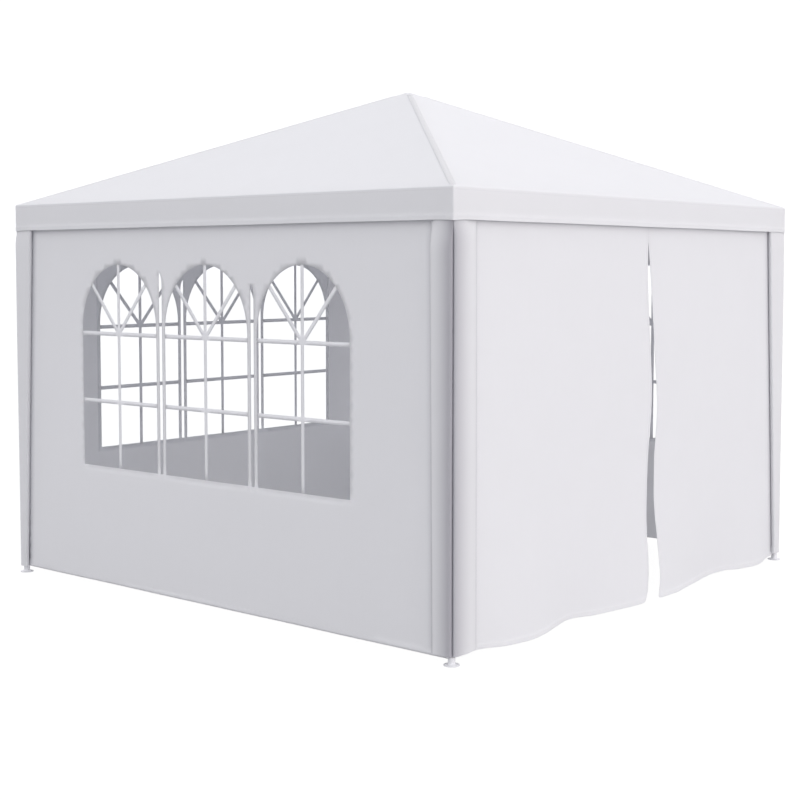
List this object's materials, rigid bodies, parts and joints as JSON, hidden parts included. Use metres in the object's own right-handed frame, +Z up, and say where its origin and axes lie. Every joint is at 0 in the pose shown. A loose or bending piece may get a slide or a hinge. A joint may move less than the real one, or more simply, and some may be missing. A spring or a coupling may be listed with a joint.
{
  "type": "marquee tent",
  "caption": "Square frame tent with a pyramid roof and a straight valance, cloth walls with arched clear windows, and a slit door between two hanging leaves.",
  "frame": {"origin": "on the ground, under the middle of the roof", "axes": "+Z up, -Y out of the door wall, +X to the right of someone who stands in front of the door and looks at it"},
  "size_m": [3.026, 3.026, 2.6144],
  "materials": {
    "steel": "white powder coat, satin",
    "fitting": "white painted socket fittings",
    "foot_plastic": "pale grey moulded plastic",
    "roof_cloth": "white coated woven sheet, matt",
    "wall_cloth": "white coated woven sheet, matt",
    "clear_film": "clear flexible film"
  },
  "bodies": {
    "root": {"leg_front_left": "steel", "foot_front_left": "foot_plastic", "corner_joint_front_left": "fitting", "hip_rafter_front_left": "steel", "corner_flap_front_left": "wall_cloth", "leg_front_right": "steel", "foot_front_right": "foot_plastic", "corner_joint_front_right": "fitting", "hip_rafter_front_right": "steel", "corner_flap_front_right": "wall_cloth", "leg_back_left": "steel", "foot_back_left": "foot_plastic", "corner_joint_back_left": "fitting", "hip_rafter_back_left": "steel", "corner_flap_back_left": "wall_cloth", "leg_back_right": "steel", "foot_back_right": "foot_plastic", "corner_joint_back_right": "fitting", "hip_rafter_back_right": "steel", "corner_flap_back_right": "wall_cloth", "eave_rail_front": "steel", "roof_panel_front": "roof_cloth", "valance_front": "roof_cloth", "eave_rail_back": "steel", "roof_panel_back": "roof_cloth", "valance_back": "roof_cloth", "eave_rail_left": "steel", "roof_panel_left": "roof_cloth", "valance_left": "roof_cloth", "eave_rail_right": "steel", "roof_panel_right": "roof_cloth", "valance_right": "roof_cloth", "window_wall_left": "wall_cloth", "window_film_left": "clear_film", "window_wall_back": "wall_cloth", "window_film_back": "clear_film", "window_wall_right": "wall_cloth", "window_film_right": "clear_film", "crown_joint": "fitting", "door_leaf_left": "wall_cloth", "door_leaf_right": "wall_cloth"}
  },
  "joints": []
}
